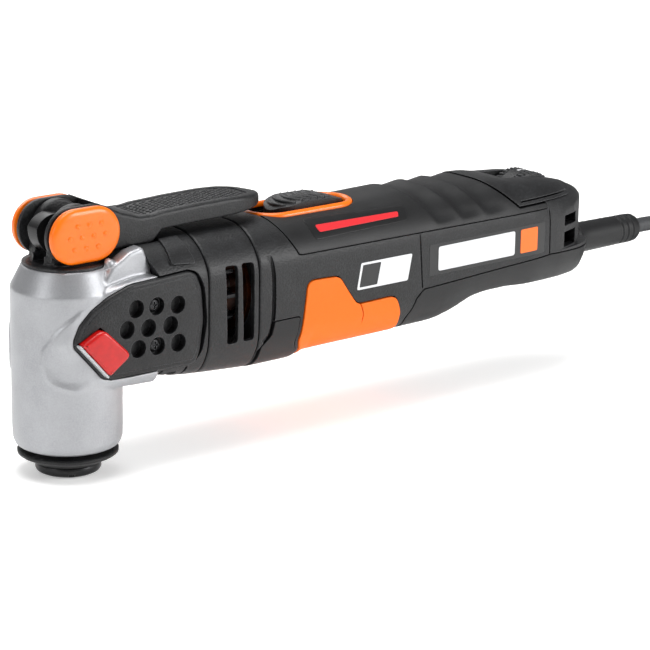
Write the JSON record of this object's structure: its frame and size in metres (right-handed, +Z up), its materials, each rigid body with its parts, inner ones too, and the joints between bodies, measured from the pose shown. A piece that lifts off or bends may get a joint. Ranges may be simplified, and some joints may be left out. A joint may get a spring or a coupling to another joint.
{
  "type": "oscillating multi tool",
  "caption": "Corded oscillating multi tool with a lever-locked accessory clamp, slide switch, speed dial, side lamps and a mains cord.",
  "frame": {"origin": "on the output spindle's axis, at the seat that the accessory is clamped against", "axes": "+Z up along the spindle axis away from the accessory, +X back along the body towards the mains cord, -Y the tool's left side"},
  "size_m": [0.5865, 0.0715, 0.1131],
  "materials": {
    "cast_aluminium": "shot-blasted die casting",
    "steel": "ground",
    "screw_steel": "black oxide",
    "black_steel": "black oxide",
    "black_plastic": "glass-filled nylon, fine spark texture",
    "soft_black": "overmoulded soft grip",
    "orange_soft": "overmoulded soft grip",
    "orange_plastic": "moulded satin",
    "red_plastic": "moulded satin",
    "clear_lens": "clear moulded",
    "circuit_board": "solder mask",
    "laminated_iron": "stacked laminations",
    "copper": "enamelled winding and copper bars",
    "brass": "stamped",
    "carbon": "pressed carbon",
    "plate_white": "printed label plate",
    "cord_jacket": "rubber jacket"
  },
  "bodies": {
    "root": {"gear_head": "cast_aluminium", "head_cap": "black_steel", "spindle_bearing_upper": "steel", "spindle_bearing_lower": "steel", "bearing_retainer": "steel", "side_cover_left": "black_plastic", "side_cover_right": "black_plastic", "cover_screws": "screw_steel", "lamp_hoods": "red_plastic", "lamp_lenses": "clear_lens", "lamp_boards": "circuit_board", "nose_collar": "black_plastic", "bearing_plate": "cast_aluminium", "head_screws": "screw_steel", "vent_ring": "black_plastic", "front_bearing": "steel", "rear_bearing": "steel", "stator_core": "laminated_iron", "field_coils": "copper", "brush_holders": "brass", "carbon_brushes": "carbon", "housing_left": "black_plastic", "housing_right": "black_plastic", "top_grip": "soft_black", "belly_grip": "soft_black", "colour_insert_left": "orange_soft", "colour_insert_right": "orange_soft", "tail_cap": "black_plastic", "switch_ring": "orange_plastic", "switch_block": "black_plastic", "control_board": "circuit_board", "name_plates": "plate_white", "housing_screws": "screw_steel", "cord_clamp": "steel", "cord_boot": "soft_black", "cord": "cord_jacket", "cord_hank": "cord_jacket", "cord_tail": "cord_jacket", "plug": "cord_jacket"},
    "spindle": {"spindle": "steel", "dust_skirt": "soft_black", "oscillating_fork": "steel", "clamp_springs": "steel"},
    "clamp": {"push_rod": "steel", "clamp_flange": "black_steel"},
    "lever": {"lever": "black_plastic", "lever_pin": "steel", "lever_cam": "steel", "button_springs": "steel"},
    "button_left": {"lock_button_left": "orange_plastic"},
    "button_right": {"lock_button_right": "orange_plastic"},
    "armature": {"armature_shaft": "steel", "drive_bearing": "steel", "counterweight": "brass", "cooling_fan": "black_plastic", "armature_core": "laminated_iron", "armature_winding": "copper", "commutator": "copper"},
    "switch": {"switch_slider": "black_plastic"},
    "dial": {"speed_dial": "black_plastic"}
  },
  "joints": [
    {"name": "spindle_oscillation", "type": "hinge", "parent": "root", "child": "spindle", "pos_m": [0, 0, 0.03], "axis": [0, 0, 1], "range_deg": [-1.6, 1.6]},
    {"name": "clamp_slide", "type": "slide", "parent": "spindle", "child": "clamp", "axis": [0, 0, -1], "range_m": [0, 0.003], "deforming": ["clamp_springs"]},
    {"name": "lever_swing", "type": "hinge", "parent": "root", "child": "lever", "pos_m": [-0.0048, 0, 0.0966], "axis": [0, -1, 0], "range_deg": [0, 105]},
    {"name": "lock_button_left_press", "type": "slide", "parent": "lever", "child": "button_left", "axis": [0, 1, 0], "range_m": [0, 0.0012], "stiffness_N_per_m": 500},
    {"name": "lock_button_right_press", "type": "slide", "parent": "lever", "child": "button_right", "axis": [0, -1, 0], "range_m": [0, 0.0012], "stiffness_N_per_m": 500},
    {"name": "armature_spin", "type": "hinge", "parent": "root", "child": "armature", "pos_m": [0.1, 0, 0.062], "axis": [1, 0, 0], "continuous": true},
    {"name": "switch_slide", "type": "slide", "parent": "root", "child": "switch", "axis": [-1, 0, 0], "range_m": [0, 0.008]},
    {"name": "dial_turn", "type": "hinge", "parent": "root", "child": "dial", "pos_m": [0.25, 0, 0.0714], "axis": [0, 1, 0], "range_deg": [-135, 135]}
  ],
  "couplings": [
    {"joint": "clamp_slide", "follows": "lever_swing", "m_per_rad": 0.001636}
  ]
}
